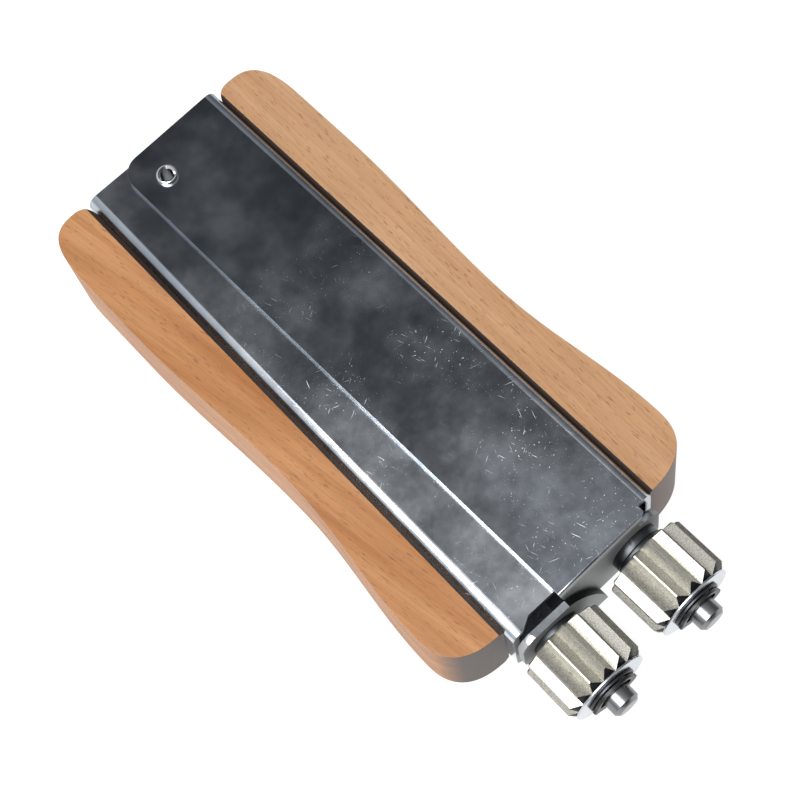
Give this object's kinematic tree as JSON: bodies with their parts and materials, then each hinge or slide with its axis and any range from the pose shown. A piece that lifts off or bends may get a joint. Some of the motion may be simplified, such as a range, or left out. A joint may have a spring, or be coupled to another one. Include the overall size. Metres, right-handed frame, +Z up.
{
  "type": "beehive frame wire crimper",
  "caption": "Hand-squeezed wire crimper: two folded steel jaws with beech grips on one pivot, each ending in a toothed roller.",
  "frame": {"origin": "centre of the tool's footprint, on the table it lies on", "axes": "+Z up from the table, +X towards the right grip, +Y towards the pivot, rollers towards -Y"},
  "size_m": [0.0642, 0.1516, 0.0234],
  "materials": {
    "sheet": "zinc plated, scratched",
    "beech": "waxed",
    "roller": "plated, grainy",
    "pin": "turned",
    "washer": "zinc plated",
    "screw": "zinc plated",
    "clip": "black phosphated",
    "spring": "drawn wire"
  },
  "bodies": {
    "right_half": {"right_jaw": "sheet", "right_grip": "beech", "right_grip_screws": "screw", "pivot_rivet": "pin", "pivot_spacer": "washer", "return_spring": "spring", "right_spring_seat": "pin", "right_pin": "pin", "right_pin_spacer": "washer", "right_rear_washer": "washer", "right_front_washer": "washer", "right_clip": "clip"},
    "left_half": {"left_jaw": "sheet", "left_grip": "beech", "left_grip_screws": "screw", "left_spring_seat": "pin", "left_pin": "pin", "left_rear_washer": "washer", "left_front_washer": "washer", "left_clip": "clip"},
    "right_roller": {"right_roller": "roller"},
    "left_roller": {"left_roller": "roller"}
  },
  "joints": [
    {"name": "jaw_hinge", "type": "hinge", "parent": "right_half", "child": "left_half", "pos_m": [-0.00119, 0.06697, 0.012], "axis": [0, 0, 1], "range_deg": [0, 1.8], "stiffness_Nm_per_rad": 6, "springref_deg": -2.86, "deforming": ["return_spring"]},
    {"name": "right_roller_spin", "type": "hinge", "parent": "right_half", "child": "right_roller", "pos_m": [0.01121, -0.06395, 0.012], "axis": [0, -1, 0], "continuous": true},
    {"name": "left_roller_spin", "type": "hinge", "parent": "left_half", "child": "left_roller", "pos_m": [-0.01174, -0.06414, 0.012], "axis": [-0.0236, -0.9997, 0], "continuous": true}
  ]
}
